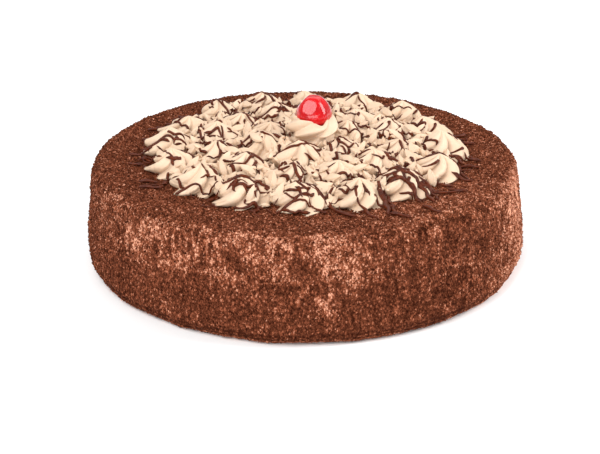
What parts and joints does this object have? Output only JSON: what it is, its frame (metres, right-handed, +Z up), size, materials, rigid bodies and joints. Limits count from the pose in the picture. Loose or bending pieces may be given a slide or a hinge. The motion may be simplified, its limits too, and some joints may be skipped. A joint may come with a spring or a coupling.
{
  "type": "whole round chocolate cake",
  "caption": "Whole uncut round cake coated in chocolate crumbs, topped with rings of piped cream rosettes, a chocolate drizzle and a candied cherry at the centre.",
  "frame": {"origin": "centre of the flat base that the cake stands on", "axes": "+Z up through the middle of the cake, -Y towards the side that the picture shows"},
  "size_m": [0.25, 0.25, 0.0925],
  "materials": {
    "crumb_coat": "matt, fine sponge crumbs",
    "cream": "soft satin whipped cream",
    "chocolate_drizzle": "glossy dark chocolate",
    "candied_cherry": "glossy syrup glaze, slightly translucent"
  },
  "bodies": {
    "root": {"cake": "crumb_coat", "rosette_a01": "cream", "rosette_a02": "cream", "rosette_a03": "cream", "rosette_a04": "cream", "rosette_a05": "cream", "rosette_a06": "cream", "rosette_a07": "cream", "rosette_a08": "cream", "rosette_a09": "cream", "rosette_a10": "cream", "rosette_a11": "cream", "rosette_a12": "cream", "rosette_a13": "cream", "rosette_a14": "cream", "rosette_a15": "cream", "rosette_a16": "cream", "rosette_b01": "cream", "rosette_b02": "cream", "rosette_b03": "cream", "rosette_b04": "cream", "rosette_b05": "cream", "rosette_b06": "cream", "rosette_b07": "cream", "rosette_b08": "cream", "rosette_b09": "cream", "rosette_b10": "cream", "rosette_b11": "cream", "rosette_b12": "cream", "rosette_c01": "cream", "rosette_c02": "cream", "rosette_c03": "cream", "rosette_c04": "cream", "rosette_c05": "cream", "rosette_c06": "cream", "rosette_centre": "cream", "cherry": "candied_cherry"}
  },
  "joints": []
}
